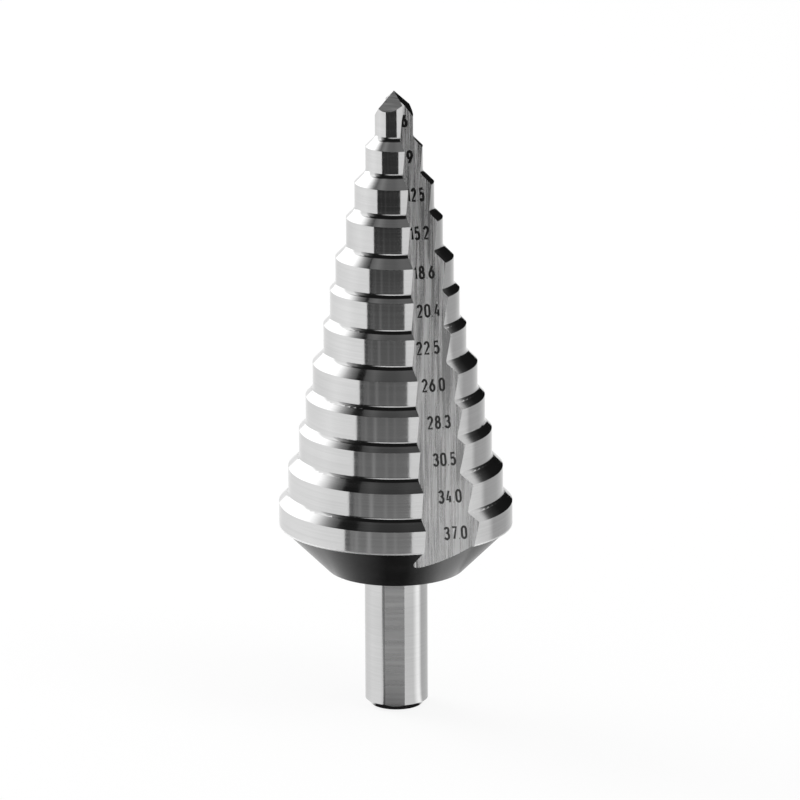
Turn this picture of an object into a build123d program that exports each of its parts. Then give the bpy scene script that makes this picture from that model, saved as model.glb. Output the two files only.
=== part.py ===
from build123d import *
import os
from math import cos, radians, sin, tan

# Step drill, 6 to 37 mm in twelve steps, ground from one bar of tool steel.
# Millimetres. The axis is Z, the foot of the shank is at zero and the point is at the top.
# Azimuths are measured from the front (-Y) towards the right (+X).

# Steps, from the point down: diameter, and height from the foot of the step above to its own foot.
# The first height is taken from the tip.
STEPS = (
    (6.0, 7.3),
    (9.0, 5.5),
    (12.5, 6.0),
    (15.2, 6.0),
    (18.6, 6.0),
    (20.4, 5.5),
    (22.5, 5.5),
    (26.0, 6.0),
    (28.3, 5.5),
    (30.5, 5.5),
    (34.0, 6.0),
    (37.0, 5.2),
)
shoulder_angle = 45.0
shoulder_root_radius = 1.0

# Shank
shank_diameter = 10.0
shank_length = 22.6
shank_chamfer = 1.0
flat_count = 3
flat_depth = 0.25
flat_length = 21.0
flat_azimuth = -3.0
neck_radius = 0.4

# Back cone, between the largest step and the shank
back_cone_height = 7.4
back_cone_angle = 45.0
back_cone_inset = 0.3
back_rim_radius = 0.6

# Flutes: a straight rake wall and a flat floor that both run up towards the tip
flute_count = 2
wall_azimuth = 32.6
rake_at_largest = 18.8
rake_at_smallest = 14.0
floor_at_base = 13.85
floor_slope = 0.208
web_thickness = 0.9
flute_root_radius = 1.0

# Point: each cutting lobe has a flank and, behind it, a steeper second relief that thins the web
lip_azimuth = 25.7
flank_slope = 43.7
flank_azimuth = -25.0
relief_slope = 53.9
relief_azimuth = -106.0

# Derived sizes
radii = [diameter / 2 for diameter, height in STEPS]
largest_radius = max(radii)
base_height = shank_length + back_cone_height
total_height = base_height + sum(height for diameter, height in STEPS)
feet = [total_height - sum(height for diameter, height in STEPS[: i + 1]) for i in range(len(STEPS))]
shank_radius = shank_diameter / 2
beyond = 2 * largest_radius


def step_outline():
    """Points of the stepped side, from the foot of the largest step up to the tip's height."""
    points = []
    for i in reversed(range(len(STEPS))):
        points.append((radii[i], feet[i]))
        if i > 0:
            rise = (radii[i] - radii[i - 1]) / tan(radians(shoulder_angle))
            points.append((radii[i], feet[i - 1] - rise))
    points.append((radii[0], total_height))
    return points


def blank():
    """The turned body: shank, back cone and steps, with a fillet in the root of every shoulder."""
    cone_radius = largest_radius - back_cone_inset
    rim = cone_radius - back_cone_height * tan(radians(back_cone_angle))
    foot = [
        (0, 0),
        (shank_radius - shank_chamfer, 0),
        (shank_radius, shank_chamfer),
        (shank_radius, shank_length),
        (rim, shank_length),
        (cone_radius, base_height),
    ]
    outline = Polyline(*foot, *step_outline(), (0, total_height), close=True)
    section = make_face(outline)
    roots = [corner_at(section, radii[i], feet[i]) for i in range(len(STEPS) - 1)]
    section = fillet(roots, shoulder_root_radius)
    section = fillet([corner_at(section, shank_radius, shank_length)], neck_radius)
    section = fillet([corner_at(section, rim, shank_length)], back_rim_radius)
    return revolve(Plane.XZ * section, Axis.Z)


def corner_at(section, x, y):
    """The corner of a flat section that lies nearest to a place."""
    return min(section.vertices(), key=lambda corner: (corner.X - x) ** 2 + (corner.Y - y) ** 2)


def shank_flat(azimuth):
    """What is ground off one side of the shank for a chuck jaw, short of the round neck."""
    across = 2 * shank_radius
    cutter = Box(across, across, flat_length, align=(Align.CENTER, Align.MAX, Align.MIN))
    return Rot(0, 0, azimuth) * Pos(0, flat_depth - shank_radius, 0) * cutter


def flute():
    """What one flute takes away, for the flute that opens to the front right."""
    # The floor rises towards the tip and then runs level with the axis on both sides of the web
    half_web = web_thickness / 2
    floor_top = base_height + (floor_at_base - half_web) / floor_slope
    floor_low = floor_at_base + floor_slope * base_height
    floor = make_face(
        Polyline(
            (-beyond - floor_low, 0),
            (-floor_low, 0),
            (-half_web, floor_top),
            (-half_web, total_height + beyond),
            (-beyond - floor_low, total_height + beyond),
            close=True,
        )
    )
    groove = extrude(Plane.YZ * floor, beyond, both=True)
    # The rake wall passes ahead of the axis by its rake at the largest and the smallest step
    low = largest_radius * sin(radians(rake_at_largest))
    high = radii[0] * sin(radians(rake_at_smallest))
    lean = (low - high) / (feet[0] - base_height)
    wall_foot = low + lean * base_height
    wall = make_face(
        Polyline(
            (-wall_foot, 0),
            (beyond, 0),
            (beyond, total_height + beyond),
            (-wall_foot + lean * (total_height + beyond), total_height + beyond),
            close=True,
        )
    )
    side = extrude(Plane.XZ * wall, 2 * beyond, both=True)
    groove = groove & (Rot(0, 0, wall_azimuth) * side)
    root = [edge for edge in groove.edges() if is_root(edge, wall_foot, lean)]
    return fillet(root, flute_root_radius)


def is_root(edge, wall_foot, lean):
    """Whether an edge of the groove is the line where its wall meets its floor."""
    middle = edge @ 0.5
    turn = radians(wall_azimuth)
    from_wall = middle.X * cos(turn) + middle.Y * sin(turn) + wall_foot - lean * middle.Z
    floor = max(web_thickness / 2, floor_at_base - floor_slope * (middle.Z - base_height))
    return abs(from_wall) < 0.01 and abs(middle.Y + floor) < 0.01


def point_cut(azimuth, slope):
    """All that lies above a plane that falls away from the tip towards one azimuth."""
    cutter = Box(beyond, beyond, beyond, align=(Align.CENTER, Align.CENTER, Align.MIN))
    return Pos(0, 0, total_height) * Rot(0, 0, azimuth) * Rot(slope, 0, 0) * cutter


def second_relief():
    """The relief behind the flank of the right-hand lobe, which runs on to the front lobe's lip."""
    right_of_lip = Box(beyond, 2 * beyond, beyond, align=(Align.MIN, Align.CENTER, Align.CENTER))
    right_of_lip = Pos(0, 0, total_height) * Rot(0, 0, lip_azimuth) * right_of_lip
    return point_cut(relief_azimuth + 180, relief_slope) & right_of_lip


def around(cutter, count):
    """Copies of a cutter, evenly turned about the axis."""
    return [Rot(0, 0, 360 * k / count) * cutter for k in range(count)]


def step_drill():
    """The finished drill, as one solid."""
    body = blank()
    flats = around(shank_flat(flat_azimuth), flat_count)
    flutes = around(flute(), flute_count)
    flanks = around(point_cut(flank_azimuth, flank_slope), flute_count)
    reliefs = around(second_relief(), flute_count)
    for cutter in flats + flanks + reliefs + flutes:
        body = body - cutter
    return body


os.makedirs("parts", exist_ok=True)
export_step(step_drill(), "parts/step_drill.step")
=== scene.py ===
"""Step drill, 6 to 37 mm: the finish of the ground steel, the size numbers and the studio round it.

Metres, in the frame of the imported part: the axis is Z, the foot of the shank is at zero and the point is up.
Azimuths are measured from the front (-Y) towards the right (+X).
"""

from math import atan, cos, pi, radians, sin

import bpy
from mathutils import Matrix, Vector


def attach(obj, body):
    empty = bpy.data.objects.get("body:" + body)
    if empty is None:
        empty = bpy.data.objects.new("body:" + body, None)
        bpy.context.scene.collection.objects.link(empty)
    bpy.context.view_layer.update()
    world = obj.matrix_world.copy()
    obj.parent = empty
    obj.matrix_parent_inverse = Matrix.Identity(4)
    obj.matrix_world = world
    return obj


mm = 0.001

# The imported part
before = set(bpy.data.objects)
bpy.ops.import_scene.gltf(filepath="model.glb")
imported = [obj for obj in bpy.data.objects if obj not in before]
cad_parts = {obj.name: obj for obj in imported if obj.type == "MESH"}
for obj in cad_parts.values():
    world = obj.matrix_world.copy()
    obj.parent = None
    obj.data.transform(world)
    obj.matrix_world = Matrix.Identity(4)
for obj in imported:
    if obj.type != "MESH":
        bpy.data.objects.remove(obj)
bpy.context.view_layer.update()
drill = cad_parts["step_drill"]

# Sizes of the part that its finishes, numbers and cards are placed by
base_height = 30.0 * mm
floor_at_base = 13.85 * mm
floor_slope = 0.208
floor_tilt = atan(floor_slope)
half_web = 0.45 * mm
floor_top = base_height + (floor_at_base - half_web) / floor_slope
point_height = 92.0 * mm
wall_azimuth = radians(32.6)
wall_at_base = 5.96 * mm
wall_lean = 0.0835
root_reach = 1.6 * mm
flank_azimuth = radians(-25.0)
flank_slope = radians(43.7)
relief_azimuth = radians(-106.0)
relief_slope = radians(53.9)
shank_length = 22.6 * mm
flat_count = 3
flat_azimuth = radians(-3.0)
flat_distance = 4.75 * mm
shank_radius = 5.0 * mm
middle_land_radius = 12.0 * mm

# Finishes
edge_break = 0.06 * mm
# Painted highlight line round the lower rim of the lands: its width, how much paler and how much rougher it is
rim_line_width = 0.3 * mm
rim_painted_highlight = 0.3
rim_line_roughness = 0.4


def start_finish(name):
    """A new material, its node tree and its shader."""
    finish = bpy.data.materials.new(name)
    finish.use_nodes = True
    return finish, finish.node_tree, finish.node_tree.nodes["Principled BSDF"]


def streaks(tree, cells, detail=3.0, tangle=0.0):
    """Noise whose cells have their own number to the metre along X, Y and Z."""
    place = tree.nodes.new("ShaderNodeTexCoord")
    stretch = tree.nodes.new("ShaderNodeMapping")
    stretch.inputs["Scale"].default_value = cells
    noise = tree.nodes.new("ShaderNodeTexNoise")
    noise.inputs["Scale"].default_value = 1.0
    noise.inputs["Detail"].default_value = detail
    noise.inputs["Distortion"].default_value = tangle
    tree.links.new(place.outputs["Object"], stretch.inputs["Vector"])
    tree.links.new(stretch.outputs["Vector"], noise.inputs["Vector"])
    return noise.outputs["Fac"]


def along(tree, axis):
    """The place on a piece along X, Y or Z, in metres."""
    place = tree.nodes.new("ShaderNodeTexCoord")
    parts = tree.nodes.new("ShaderNodeSeparateXYZ")
    tree.links.new(place.outputs["Object"], parts.inputs["Vector"])
    return parts.outputs[axis]


def between(tree, value, low, high, start=0.3, end=0.7):
    """A value from start to end, spread out from low to high."""
    reach = tree.nodes.new("ShaderNodeMapRange")
    reach.inputs["From Min"].default_value = start
    reach.inputs["From Max"].default_value = end
    reach.inputs["To Min"].default_value = low
    reach.inputs["To Max"].default_value = high
    tree.links.new(value, reach.inputs["Value"])
    return reach.outputs["Result"]


def combine(tree, operation, first, second=0.0):
    """One operation on two values, or on the first alone."""
    step = tree.nodes.new("ShaderNodeMath")
    step.operation = operation
    for socket, value in zip(step.inputs, (first, second)):
        if isinstance(value, (int, float)):
            socket.default_value = value
        else:
            tree.links.new(value, socket)
    return step.outputs["Value"]


def grooves(tree, height, depth, normal=None):
    """A normal that follows scratches of a real depth in metres."""
    bump = tree.nodes.new("ShaderNodeBump")
    bump.inputs["Strength"].default_value = 1.0
    bump.inputs["Distance"].default_value = depth
    tree.links.new(height, bump.inputs["Height"])
    if normal is not None:
        tree.links.new(normal, bump.inputs["Normal"])
    return bump.outputs["Normal"]


def broken_edge(tree, width):
    """A normal that turns softly over every edge, as on an edge that has been stoned."""
    edge = tree.nodes.new("ShaderNodeBevel")
    edge.samples = 4
    edge.inputs["Radius"].default_value = width
    return edge.outputs["Normal"]


def grey(tree, value):
    """The same value for red, green and blue."""
    mix = tree.nodes.new("ShaderNodeCombineColor")
    for channel in ("Red", "Green", "Blue"):
        tree.links.new(value, mix.inputs[channel])
    return mix.outputs["Color"]


def near_height(tree, height, width):
    """One at a height on the drill, and none a width above or below it."""
    away = combine(tree, "ABSOLUTE", combine(tree, "SUBTRACT", along(tree, "Z"), height))
    return between(tree, away, 1.0, 0.0, 0.4 * width, width)


def steel(name, cells, tone, roughness, depth, coarse=None, rim=None):
    """Bare steel with grinding lines.

    The cells set the run of the lines, and coarse cells put a broader set under them. Tone and roughness
    run from low to high. At the height of a rim the steel is painted paler, a painted highlight line, and made
    rougher.
    """
    finish, tree, shader = start_finish(name)
    lines = streaks(tree, cells)
    if coarse:
        both = combine(tree, "ADD", lines, streaks(tree, coarse, detail=2.0))
        lines = between(tree, both, 0.3, 0.7, 0.8, 1.2)
    patches = streaks(tree, (90.0, 90.0, 90.0), detail=2.0)
    shine = combine(tree, "MULTIPLY", between(tree, lines, *tone), between(tree, patches, 0.94, 1.04))
    dullness = between(tree, lines, *roughness)
    # Painted highlight: the steel at the rim is painted paler, and also made rougher
    if rim:
        rim_line = near_height(tree, rim, rim_line_width)
        shine = combine(tree, "ADD", shine, combine(tree, "MULTIPLY", rim_line, rim_painted_highlight))
        dullness = combine(tree, "ADD", dullness, combine(tree, "MULTIPLY", rim_line, rim_line_roughness))
    shader.inputs["Metallic"].default_value = 1.0
    tree.links.new(grey(tree, shine), shader.inputs["Base Color"])
    tree.links.new(dullness, shader.inputs["Roughness"])
    tree.links.new(grooves(tree, lines, depth, broken_edge(tree, edge_break)), shader.inputs["Normal"])
    return finish


def turned_steel():
    """Lands and shoulders: bright, with fine grinding lines round the axis, and a painted highlight line round
    the lower rim that is also rougher.
    """
    cells, coarse = (30.0, 30.0, 4600.0), (24.0, 24.0, 1300.0)
    return steel("turned_steel", cells, (0.615, 0.65), (0.08, 0.12), 0.0019 * mm, coarse, base_height)


def shank_steel():
    """Round of the shank and its end chamfer: ground smoother than the steps."""
    return steel("shank_steel", (30.0, 30.0, 3000.0), (0.61, 0.65), (0.09, 0.13), 0.0006 * mm)


def flute_steel():
    """Flute floors and their rounded roots: strong grinding lines that run lengthwise."""
    cells, coarse = (4200.0, 500.0, 45.0), (1300.0, 300.0, 22.0)
    return steel("flute_steel", cells, (0.36, 0.92), (0.22, 0.34), 0.045 * mm, coarse)


def wall_steel():
    """Rake walls: lengthwise grinding lines, finer than on the floors."""
    return steel("wall_steel", (3000.0, 3000.0, 60.0), (0.5, 0.7), (0.18, 0.28), 0.015 * mm)


def flank_steel():
    """Flanks of the point: short cross lines of the point grinder."""
    return steel("flank_steel", (250.0, 250.0, 3400.0), (0.34, 0.6), (0.25, 0.35), 0.012 * mm)


def relief_steel():
    """Second reliefs of the point: ground finer than the flanks."""
    return steel("relief_steel", (250.0, 250.0, 3400.0), (0.4, 0.5), (0.1, 0.14), 0.002 * mm)


def jaw_flat_steel():
    """Flats of the shank: level lines of the grinding wheel."""
    return steel("jaw_flat_steel", (60.0, 60.0, 1500.0), (0.52, 0.68), (0.24, 0.34), 0.01 * mm)


def black_skin():
    """The unground back cone and shank end: a dark oxide skin, smooth and a little uneven."""
    finish, tree, shader = start_finish("black_skin")
    cloud = streaks(tree, (160.0, 160.0, 420.0), detail=5.0, tangle=0.4)
    speck = streaks(tree, (5200.0, 5200.0, 5200.0), detail=2.0)
    shader.inputs["Specular IOR Level"].default_value = 0.5
    tree.links.new(grey(tree, between(tree, cloud, 0.006, 0.011)), shader.inputs["Base Color"])
    tree.links.new(between(tree, speck, 0.16, 0.24), shader.inputs["Roughness"])
    tree.links.new(grooves(tree, speck, 0.002 * mm), shader.inputs["Normal"])
    return finish


def mark_black():
    """The black of the size numbers, with wear that lightens it in places, and lighter towards the shank."""
    finish, tree, shader = start_finish("mark_black")
    wear = streaks(tree, (2600.0, 2600.0, 900.0), detail=4.0)
    shader.inputs["Specular IOR Level"].default_value = 0.2
    full_black_height = 80.0 * mm
    fading = between(tree, along(tree, "Z"), 0.04, 0.0, base_height, full_black_height)
    tone = combine(tree, "ADD", between(tree, wear, 0.002, 0.012), fading)
    tree.links.new(grey(tree, tone), shader.inputs["Base Color"])
    tree.links.new(between(tree, wear, 0.55, 0.75), shader.inputs["Roughness"])
    tree.links.new(grooves(tree, wear, 0.01 * mm), shader.inputs["Normal"])
    return finish


# Which finish each face of the drill has
same_way = 0.9998
same_plane = 0.01 * mm
cone_fall = 0.4
end_fall = 0.9


def facing(azimuth, rise):
    """The direction that looks to an azimuth and rises by an angle above level."""
    return Vector((sin(azimuth) * cos(rise), -cos(azimuth) * cos(rise), sin(rise)))


def looks_along(normal, directions):
    """Whether a face looks along one of some directions, by the cosine between them."""
    return any(normal.dot(direction) > same_way for direction in directions)


def each_lobe(azimuth, rise):
    """A direction on one lobe, and the same one on the lobe opposite."""
    return [facing(azimuth, rise), facing(azimuth + pi, rise)]


flute_directions = each_lobe(0.0, floor_tilt) + each_lobe(0.0, 0.0)
wall_directions = each_lobe(wall_azimuth + pi / 2, -atan(wall_lean))
flank_directions = each_lobe(flank_azimuth, pi / 2 - flank_slope)
relief_directions = each_lobe(relief_azimuth, pi / 2 - relief_slope)
flat_directions = [facing(flat_azimuth + k * 2 * pi / flat_count, 0.0) for k in range(flat_count)]


def floor_depth(height):
    """How far the flute floors stand off the axis at a height."""
    return max(half_web, floor_at_base - floor_slope * (height - base_height))


def in_flute_root(middle):
    """Whether a place lies where the wall of a flute runs into its floor."""
    off_wall = wall_at_base - wall_lean * (middle.z - base_height)
    for side in (1, -1):
        from_wall = side * (middle.x * cos(wall_azimuth) + middle.y * sin(wall_azimuth)) + off_wall
        from_floor = -side * middle.y - floor_depth(middle.z)
        if max(abs(from_wall), abs(from_floor)) < root_reach:
            return True
    return False


def finish_of(face):
    """The name of the finish that a face of the drill takes.

    Faces of the back cone and of the shank end that look down by more than their fall are unground.
    """
    normal, middle = face.normal, face.center
    fall = cone_fall if middle.z > shank_length / 2 else end_fall
    if normal.z < -fall:
        return "black_skin"
    if middle.z < shank_length:
        on_flat = any(abs(middle.dot(way) - flat_distance) < same_plane for way in flat_directions)
        return "jaw_flat_steel" if on_flat and looks_along(normal, flat_directions) else "shank_steel"
    on_floor = abs(abs(middle.y) - floor_depth(middle.z)) < same_plane
    if on_floor and looks_along(normal, flute_directions):
        return "flute_steel"
    if looks_along(normal, wall_directions):
        return "wall_steel"
    if middle.z > point_height and looks_along(normal, flank_directions):
        return "flank_steel"
    if middle.z > point_height and looks_along(normal, relief_directions):
        return "relief_steel"
    return "flute_steel" if in_flute_root(middle) else "turned_steel"


DRILL_FINISHES = (
    turned_steel, flute_steel, wall_steel, flank_steel, relief_steel,
    shank_steel, jaw_flat_steel, black_skin,
)
drill.data.materials.clear()
for finish in DRILL_FINISHES:
    drill.data.materials.append(finish())
for face in drill.data.polygons:
    face.material_index = drill.data.materials.find(finish_of(face))

# Size numbers on the floor of the front flute, in black strokes of a round pen, just proud of the steel
digit_height = 1.82 * mm
digit_width = 0.65 * mm
digit_gap = 0.53 * mm
point_gap = 0.87 * mm
pen_radius = 0.175 * mm
dot_length = 0.12 * mm
dot_share = 0.5
mark_rise = 0.02 * mm
mark_turn = radians(4.0)

# Each step's number, the height of its lower edge, how far right of the axis it starts, how much it is
# squeezed to fit a narrow part of the floor, and how heavy its strokes are
SIZE_MARKS = (
    ("6", 94.3, 1.08, 1.0, 1.3),
    ("9", 88.74, 1.96, 1.0, 1.25),
    ("12.5", 82.95, 2.2, 0.82, 1.25),
    ("15.2", 77.08, 2.65, 0.92, 1.15),
    ("18.6", 71.08, 3.25, 1.0, 1.05),
    ("20.4", 65.2, 3.47, 1.0, 1.0),
    ("22.5", 59.5, 3.36, 1.0, 1.0),
    ("26.0", 53.8, 4.18, 1.0, 1.0),
    ("28.3", 48.1, 5.03, 1.0, 1.0),
    ("30.5", 42.4, 5.87, 1.0, 1.0),
    ("34.0", 36.7, 6.7, 1.0, 1.0),
    ("37.0", 31.1, 7.55, 1.0, 1.0),
)


def arc(x, y, wide, high, start, end, count=10):
    """Points along an elliptic arc; the angles are in degrees, from the right and turning left."""
    angles = [radians(start + (end - start) * i / count) for i in range(count + 1)]
    return [(x + wide * cos(angle), y + high * sin(angle)) for angle in angles]


# Strokes of each digit, in a cell one wide and one high
STROKES = {
    "0": [arc(0.5, 0.74, 0.5, 0.26, 0, 180) + arc(0.5, 0.26, 0.5, 0.26, 180, 360) + [(1.0, 0.74)]],
    "1": [[(-0.25, 0.78), (0.0, 1.0), (0.0, 0.0)]],
    "2": [arc(0.5, 0.74, 0.48, 0.26, 170, -30) + [(0.0, 0.0), (1.0, 0.0)]],
    "3": [arc(0.48, 0.77, 0.46, 0.23, 160, -90) + arc(0.48, 0.27, 0.52, 0.27, 90, -160)],
    "4": [[(0.55, 1.0), (0.0, 0.25), (1.0, 0.25)], [(0.75, 0.55), (0.75, 0.0)]],
    "5": [[(0.95, 1.0), (0.1, 1.0), (0.05, 0.56)] + arc(0.46, 0.31, 0.52, 0.31, 110, -150)],
    "6": [[(0.75, 1.0)] + arc(0.5, 0.3, 0.5, 0.3, 160, 520, 18)],
    "7": [[(0.0, 1.0), (1.0, 1.0), (0.4, 0.0)]],
    "8": [arc(0.5, 0.77, 0.42, 0.23, 270, -90, 16) + arc(0.5, 0.27, 0.5, 0.27, 90, 450, 18)],
    "9": [[(0.25, 0.0)] + arc(0.5, 0.7, 0.5, 0.3, -20, 340, 18)],
}


def pen_line(curve, points, share=1.0):
    """One stroke of the pen through some points, at a share of its full width."""
    line = curve.splines.new("POLY")
    line.points.add(len(points) - 1)
    for place, (x, y) in zip(line.points, points):
        place.co = (x, y, 0.0, 1.0)
        place.radius = share


def write_number(name, text, pen):
    """A number in strokes of one pen radius in the XY plane, the left edge of its first digit at zero."""
    curve = bpy.data.curves.new(name, "CURVE")
    curve.dimensions = "3D"
    curve.bevel_depth = pen
    curve.bevel_resolution = 3
    curve.use_fill_caps = True
    left = pen
    for letter in text:
        if letter == ".":
            dot = left - digit_gap / 2 - dot_length / 2 + (point_gap - digit_gap) / 2
            pen_line(curve, [(dot, 0.0), (dot + dot_length, 0.0)], dot_share)
            left += point_gap - digit_gap
            continue
        width = 0.0 if letter == "1" else digit_width
        for stroke in STROKES[letter]:
            pen_line(curve, [(left + x * digit_width, y * digit_height) for x, y in stroke])
        left += width + digit_gap
    mark = bpy.data.objects.new(name, curve)
    bpy.context.scene.collection.objects.link(mark)
    return mark


def size_mark(text, height, right, squeeze, weight, finish):
    """One size number, laid on the floor of the front flute beside its step."""
    pen = pen_radius * weight
    mark = write_number("size_" + text.replace(".", "_"), text, pen)
    bpy.ops.object.select_all(action="DESELECT")
    mark.select_set(True)
    bpy.context.view_layer.objects.active = mark
    bpy.ops.object.convert(target="MESH")
    mark = bpy.context.view_layer.objects.active
    outward = facing(0.0, 0.0 if height > floor_top - digit_height / 2 else floor_tilt)
    across = Vector((1.0, 0.0, 0.0))
    lie = Matrix((across, outward.cross(across), outward)).transposed().to_4x4()
    flatten = Matrix.Diagonal((squeeze, 1.0, mark_rise / pen, 1.0))
    place = Matrix.Translation((right, -floor_depth(height), height))
    mark.data.transform(place @ lie @ Matrix.Rotation(mark_turn, 4, "Z") @ flatten)
    mark.data.materials.append(finish)
    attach(mark, "root")


number_finish = mark_black()
for text, height, right, squeeze, weight in SIZE_MARKS:
    size_mark(text, height * mm, right * mm, squeeze, weight, number_finish)

# Studio: the degrees from corner to corner of its panels and round cards, and the level of a black card
corner_turn = 10
card_black = 0.012


def looked_at(tree):
    """One where a surface is seen or mirrored, and none where it only lights another."""
    path = tree.nodes.new("ShaderNodeLightPath")
    way = combine(tree, "MAXIMUM", path.outputs["Is Camera Ray"], path.outputs["Is Glossy Ray"])
    return combine(tree, "MAXIMUM", way, path.outputs["Is Transmission Ray"])


def stage_finish(name, seen, lit, share):
    """Paper that has one paleness where it is seen or mirrored, and another where it lights the drill.

    A share of its look glows of itself, and the rest is lit and keeps the shadow of the drill.
    """
    finish, tree, shader = start_finish(name)
    shader.inputs["Base Color"].default_value = (lit, lit, lit, 1.0)
    shader.inputs["Roughness"].default_value = 1.0
    shader.inputs["Specular IOR Level"].default_value = 0.0
    glow = tree.nodes.new("ShaderNodeEmission")
    glow.inputs["Color"].default_value = (seen, seen, seen, 1.0)
    mix = tree.nodes.new("ShaderNodeMixShader")
    tree.links.new(combine(tree, "MULTIPLY", looked_at(tree), share), mix.inputs["Fac"])
    tree.links.new(shader.outputs["BSDF"], mix.inputs[1])
    tree.links.new(glow.outputs["Emission"], mix.inputs[2])
    tree.links.new(mix.outputs["Shader"], tree.nodes["Material Output"].inputs["Surface"])
    return finish


def card(name, corners, level):
    """A flat card by its corners, which only mirrors in the metal.

    The level is a function that works out, in the nodes of its tree, how brightly each place glows.
    """
    finish, tree, shader = start_finish(name)
    tree.nodes.remove(shader)
    glow = tree.nodes.new("ShaderNodeEmission")
    tree.links.new(grey(tree, level(tree)), glow.inputs["Color"])
    tree.links.new(glow.outputs["Emission"], tree.nodes["Material Output"].inputs["Surface"])
    mesh = bpy.data.meshes.new(name)
    mesh.from_pydata(corners, [], [tuple(range(len(corners)))])
    mesh.materials.append(finish)
    board = bpy.data.objects.new(name, mesh)
    bpy.context.scene.collection.objects.link(board)
    board.visible_camera = False
    board.visible_diffuse = False
    board.visible_shadow = False
    board.visible_transmission = False


def distance_from(tree, middle=(0.0, 0.0, 0.0)):
    """How far a place on a card is from a middle."""
    place = tree.nodes.new("ShaderNodeTexCoord")
    reach = tree.nodes.new("ShaderNodeVectorMath")
    reach.operation = "DISTANCE"
    reach.inputs[1].default_value = middle
    tree.links.new(place.outputs["Object"], reach.inputs[0])
    return reach.outputs["Value"]


def azimuth_on(tree, radius=0.0):
    """The azimuth of a place on a card, in degrees.

    With a radius it is the azimuth in which the view leaves an upright round of that radius to meet it.
    """
    turn = combine(tree, "ARCTAN2", along(tree, "X"), combine(tree, "MULTIPLY", along(tree, "Y"), -1.0))
    if radius:
        aside = combine(tree, "SINE", combine(tree, "MULTIPLY", turn, 0.5))
        aside = combine(tree, "DIVIDE", aside, distance_from(tree))
        aside = combine(tree, "ARCSINE", combine(tree, "MULTIPLY", aside, radius))
        turn = combine(tree, "ADD", turn, aside)
    return combine(tree, "MULTIPLY", turn, 180.0 / pi)


def banded(tree, way, bands):
    """A level by pairs of a place along a way and the level there, which runs evenly from pair to pair."""
    first, last = bands[0][0], bands[-1][0]
    full = max(level for place, level in bands)
    ramp = tree.nodes.new("ShaderNodeValToRGB")
    tree.links.new(between(tree, way, 0.0, 1.0, first, last), ramp.inputs["Fac"])
    stops = ramp.color_ramp.elements
    stops.remove(stops[1])
    for count, (place, level) in enumerate(bands):
        share = (place - first) / (last - first)
        stop = stops.new(share) if count else stops[0]
        stop.position = share
        stop.color = (level / full, level / full, level / full, 1.0)
    return combine(tree, "MULTIPLY", ramp.outputs["Color"], full)


def at(azimuth, distance, height):
    """A place round the drill, by its azimuth in degrees."""
    return (sin(radians(azimuth)) * distance, -cos(radians(azimuth)) * distance, height)


def round_card(distance, height, middle=0.0):
    """Corners of a level round card, whose middle can lie some way behind the axis."""
    corners = [at(azimuth, distance, height) for azimuth in range(0, 360, corner_turn)]
    return [(x, y + middle, z) for x, y, z in corners]


def panels(name, start, end, distance, height, level):
    """Upright panels side by side round the drill, from one azimuth to another."""
    count = round((end - start) / corner_turn)
    for k in range(count):
        left = start + (end - start) * k / count
        right = start + (end - start) * (k + 1) / count
        corners = [at(left, distance, 0.0), at(right, distance, 0.0)]
        corners += [at(right, distance, height), at(left, distance, height)]
        card(name, corners, level)


# Floor
floor_size = 12.0
floor_drop = 0.02 * mm
bpy.ops.object.select_all(action="DESELECT")
bpy.ops.mesh.primitive_plane_add(size=floor_size, location=(0.0, 0.0, -floor_drop))
floor = bpy.context.object
floor.name = "floor"
floor.data.materials.append(stage_finish("floor_paper", seen=1.0, lit=0.9, share=0.85))

# Cards that lie on the floor: the height of each, one over the other, and how far the round ones reach
land_layer = 0.01 * mm
shank_layer = 0.02 * mm
wedge_layer = 0.03 * mm
foot_layer = 0.04 * mm
land_reach = 1.0
shank_reach = 0.1

# Soft bands all round, by azimuth: the far ones mirror in the lands, the near ones in the shank
LAND_BANDS = (
    (-180.0, 0.95), (-150.0, 0.9), (-120.0, 1.0), (-92.0, 1.07), (-70.0, 1.0), (-50.0, 1.0),
    (15.0, 0.93), (40.0, 0.9), (80.0, 0.95), (102.0, 0.84), (110.0, 0.48), (135.0, 0.5),
    (158.0, 0.68), (180.0, 0.95),
)
SHANK_BANDS = (
    (-180.0, 0.9), (-140.0, 0.85), (-100.0, 1.0), (-60.0, 0.98), (-50.0, 0.85), (15.0, 0.95), (36.0, 0.8),
    (64.0, 0.8), (82.0, 1.3), (91.0, 1.3), (104.0, 0.58), (150.0, 0.66), (180.0, 0.9),
)


def land_level(tree):
    """The bands that the lands mirror."""
    return banded(tree, azimuth_on(tree, middle_land_radius), LAND_BANDS)


def shank_level(tree):
    """The bands that the shank mirrors."""
    return banded(tree, azimuth_on(tree, shank_radius), SHANK_BANDS)


card("land_bands", round_card(land_reach, land_layer), land_level)
card("shank_bands", round_card(shank_reach, shank_layer), shank_level)

# Dark wedge on the floor that makes the dark band down the front of the lands: its levels by distance. Closest
# to the drill it is darker, as painted shade that the foot of the shank mirrors
WEDGE_FADE = (
    (0.0, 0.15), (0.008, 0.17), (0.012, 0.21), (0.023, 0.34), (0.035, 0.42), (0.11, 0.29), (0.15, 0.215),
    (0.25, 0.135), (0.34, 0.035), (1.0, 0.035),
)
# Light streaks in the wedge, by azimuth
WEDGE_STREAKS = (
    (-60.0, 0.6), (-46.0, 0.6), (-43.0, 1.1), (-40.5, 0.95), (-38.0, 1.35), (-35.5, 0.95), (-29.0, 0.9),
    (-25.5, 1.6), (-22.5, 0.95), (-13.0, 0.95), (-10.5, 1.25), (-8.0, 0.9), (-2.5, 0.95), (-0.5, 1.2),
    (1.5, 0.95), (20.0, 1.05),
)
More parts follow.
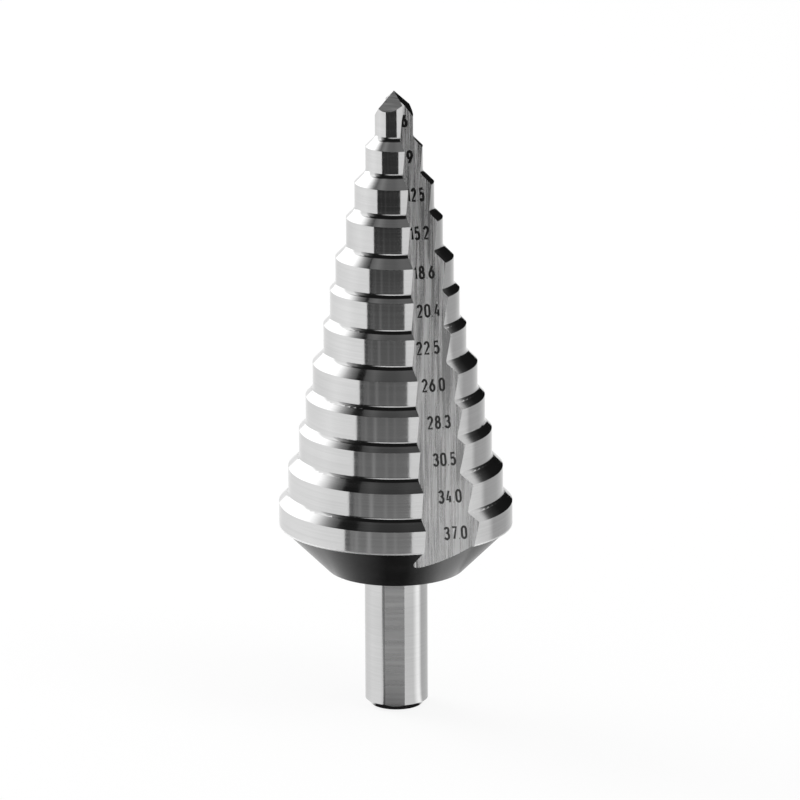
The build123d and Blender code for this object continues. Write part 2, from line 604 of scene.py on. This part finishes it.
# Corners of the wedge, by azimuth and distance
WEDGE_EDGE = (
    (-30.0, 0.005), (14.0, 0.005), (14.2, 0.12), (17.5, 0.35), (17.7, land_reach), (0.0, land_reach),
    (-17.0, land_reach), (-34.0, land_reach), (-50.6, land_reach), (-47.0, 0.1), (-51.5, 0.09),
    (-51.0, 0.06), (-48.7, 0.03), (-38.6, 0.009),
)
wedge = [at(azimuth, distance, wedge_layer) for azimuth, distance in WEDGE_EDGE]


def wedge_level(tree):
    """Palest a short way from the drill and black far out, with streaks."""
    fade = banded(tree, distance_from(tree), WEDGE_FADE)
    streak = banded(tree, azimuth_on(tree, middle_land_radius), WEDGE_STREAKS)
    return combine(tree, "MULTIPLY", fade, streak)


card("floor_wedge", wedge, wedge_level)

# Black sector close under the back cone, which darkens the middle of its front: painted shade under the cone,
# seen only in its mirror
sector_height = 22.3 * mm
sector_inside = 5.4 * mm
sector_outside = 22.0 * mm
sector_corners = range(-66, 67, 12)
SECTOR_BANDS = (
    (-66.0, 1.0), (-49.0, 0.6), (-34.0, 0.32), (-21.0, 0.17), (-8.0, 0.03), (8.0, 0.03), (21.0, 0.25),
    (30.0, 0.55), (40.0, 0.9), (66.0, 1.0),
)
sector = [at(azimuth, sector_inside, sector_height) for azimuth in sector_corners]
sector += [at(azimuth, sector_outside, sector_height) for azimuth in reversed(sector_corners)]


def sector_level(tree):
    """Black in the middle and paler to both sides."""
    return banded(tree, azimuth_on(tree), SECTOR_BANDS)


card("cone_shade", sector, sector_level)

# Disc round the shank end, which the chamfer mirrors: painted contact shade under the foot
FOOT_BANDS = (
    (-6.0 * mm, 0.9), (-4.1 * mm, 0.9), (-3.5 * mm, card_black),
    (3.7 * mm, card_black), (4.3 * mm, 0.9), (6.0 * mm, 0.9),
)


def foot_level(tree):
    """Black in the middle and pale at the left and right."""
    return banded(tree, along(tree, "X"), FOOT_BANDS)


card("foot_shade", round_card(shank_radius, foot_layer), foot_level)

# Front: a low rim, pale in the middle for the flute floor, and a black roof for the roots of the shoulders
front_reach = 0.95
front_left = -84.0
front_right = 62.0
roof_height = 0.26
RIM_HEIGHTS = ((0.0, 0.9), (0.15, 1.15), (0.2, 0.5), (0.23, card_black), (roof_height, card_black))
RIM_WIDTH = (
    (front_left, card_black), (-38.0, 0.02), (-16.0, 1.0), (16.0, 1.0), (38.0, 0.02),
    (front_right, card_black),
)
LEFT_FADE = (
    (front_left, 0.8), (-72.0, 0.35), (-60.0, 0.06), (-50.0, card_black), (front_right, card_black),
)
ROOF_REACH = ((0.0, 0.0), (0.2, 0.0), (0.45, 1.0), (1.0, 1.0))


def rim_level(tree):
    """Pale low down in the middle, and at the left end."""
    heights = banded(tree, along(tree, "Z"), RIM_HEIGHTS)
    middle = combine(tree, "MULTIPLY", heights, banded(tree, azimuth_on(tree), RIM_WIDTH))
    return combine(tree, "MAXIMUM", middle, banded(tree, azimuth_on(tree), LEFT_FADE))


def roof_level(tree):
    """Black, and pale only far out on the left."""
    reach = banded(tree, distance_from(tree, (0.0, 0.0, roof_height)), ROOF_REACH)
    far = combine(tree, "MULTIPLY", reach, banded(tree, azimuth_on(tree), LEFT_FADE))
    return combine(tree, "MAXIMUM", far, card_black)


panels("front_rim", front_left, front_right, front_reach, roof_height, rim_level)
roof_corners = (front_left, *range(-70, 51, 15), front_right)
roof = [at(azimuth, front_reach, roof_height) for azimuth in roof_corners]
card("front_roof", roof + [(0.0, 0.0, roof_height)], roof_level)

# Low ceiling over the drill: dim for the front of the shoulders, with a black rim
ceiling_height = 0.25
ceiling_middle = 0.11
ceiling_radius = 0.23
ceiling_left = -0.1
ceiling_right = 0.165
CEILING_FADE = ((0.0, 0.2), (0.15, 0.2), (0.19, 0.055), (0.212, card_black), (0.3, card_black))
CEILING_WIDTH = (
    (-0.3, 0.4), (-0.125, 0.5), (-0.1, 0.9), (-0.07, 1.5), (-0.04, 0.95), (0.0, 0.9), (0.03, 1.1),
    (0.135, 1.1), (0.16, 7.0), (0.3, 7.0),
)


def ceiling_level(tree):
    """Dim in the middle and black at the rim, paler in a stretch on the left and along the right edge."""
    fade = banded(tree, distance_from(tree, (0.0, ceiling_middle, ceiling_height)), CEILING_FADE)
    return combine(tree, "MULTIPLY", fade, banded(tree, along(tree, "X"), CEILING_WIDTH))


ceiling = round_card(ceiling_radius, ceiling_height, ceiling_middle)
trimmed_ceiling = [(min(max(x, ceiling_left), ceiling_right), y, z) for x, y, z in ceiling]
card("ceiling", trimmed_ceiling, ceiling_level)

# Back left: a bright board, which the left-hand shoulders mirror
board_reach = 0.9
bright_height = 2.2
BRIGHT_BANDS = (
    (-160.0, 1.5), (-130.5, 1.85), (-118.2, 1.77), (-113.0, 1.45), (-107.4, 1.0), (-103.0, 0.6),
    (-98.6, 0.33), (-93.5, 0.18), (-88.8, 0.1), (front_left, 0.07),
)
BRIGHT_FOOT = (
    (0.0, 1.0), (0.6, 1.25), (0.7, 1.0), (0.8, 0.65), (0.9, 0.33), (1.0, 0.12), (1.1, 0.05),
    (bright_height, 0.05),
)


def bright_level(tree):
    """Bright at the back, fading towards the front, and pale all along its foot."""
    foot = banded(tree, along(tree, "Z"), BRIGHT_FOOT)
    return combine(tree, "MAXIMUM", banded(tree, azimuth_on(tree), BRIGHT_BANDS), foot)


panels("bright_board", -158.0, front_left, board_reach, bright_height, bright_level)

# Back right: a black board, which the right-hand shoulders mirror; its soft edge curves back as it rises
BOARD_BANDS = (
    (30.0, 0.85), (90.0, 0.85), (94.5, 0.72), (98.0, 0.5), (101.0, 0.28), (104.5, 0.12), (109.0, 0.06),
    (116.0, 0.035), (127.0, 0.014), (180.0, 0.005),
)
edge_curve = 44.0
back_height = 1.0


def board_level(tree):
    """Black beyond an edge that curves back with the square of the height."""
    curve = combine(tree, "MULTIPLY", combine(tree, "POWER", along(tree, "Z"), 2.0), edge_curve)
    return banded(tree, combine(tree, "SUBTRACT", azimuth_on(tree), curve), BOARD_BANDS)


panels("back_board", 88.0, 178.0, board_reach, back_height, board_level)

# Lamps, which the metal does not mirror, and the height on the drill that they look at
lamp_target = 60.0 * mm


def soft_light(name, azimuth, rise, distance, size, watts):
    """A square soft light, placed by its direction and distance from the drill."""
    light = bpy.data.lights.new(name, "AREA")
    light.shape = "SQUARE"
    light.size = size
    light.energy = watts
    lamp = bpy.data.objects.new(name, light)
    bpy.context.scene.collection.objects.link(lamp)
    lamp.visible_glossy = False
    away = facing(radians(azimuth), radians(rise))
    lamp.location = Vector((0.0, 0.0, lamp_target)) + away * distance
    lamp.rotation_mode = "QUATERNION"
    lamp.rotation_quaternion = away.to_track_quat("Z", "Y")


soft_light("key_light", azimuth=-130.0, rise=30.0, distance=0.9, size=0.5, watts=4.0)
soft_light("fill_light", azimuth=60.0, rise=50.0, distance=1.2, size=0.5, watts=3.0)

# Paper-white surroundings, which also light the drill evenly
room_light = 0.75
world = bpy.data.worlds.new("white_room")
bpy.context.scene.world = world
world.use_nodes = True
room_tree = world.node_tree
room = room_tree.nodes["Background"]
room.inputs["Color"].default_value = (1.0, 1.0, 1.0, 1.0)
strength = between(room_tree, looked_at(room_tree), room_light, 1.0, 0.0, 1.0)
room_tree.links.new(strength, room.inputs["Strength"])

# Camera at the photograph's view
view_distance = 0.964232
view_rise = radians(15.281)
view_roll = radians(-0.258)
view_target = Vector((0.749 * mm, 0.0, 50.047 * mm))
photo_width = 800
focal_pixels = 6110.06

lens = bpy.data.cameras.new("camera")
lens.sensor_width = 36.0
lens.lens = focal_pixels * lens.sensor_width / photo_width
lens.clip_start = 0.01
lens.clip_end = 50.0
camera = bpy.data.objects.new("camera", lens)
bpy.context.scene.collection.objects.link(camera)
ahead = Vector((0.0, cos(view_rise), -sin(view_rise)))
aside = Vector((1.0, 0.0, 0.0))
above = aside.cross(ahead)
turned_aside = aside * cos(view_roll) + above * sin(view_roll)
turned_above = above * cos(view_roll) - aside * sin(view_roll)
aim = Matrix((turned_aside, turned_above, -ahead)).transposed().to_4x4()
camera.matrix_world = Matrix.Translation(view_target - ahead * view_distance) @ aim
bpy.context.scene.camera = camera
bpy.context.scene.view_settings.view_transform = "Standard"
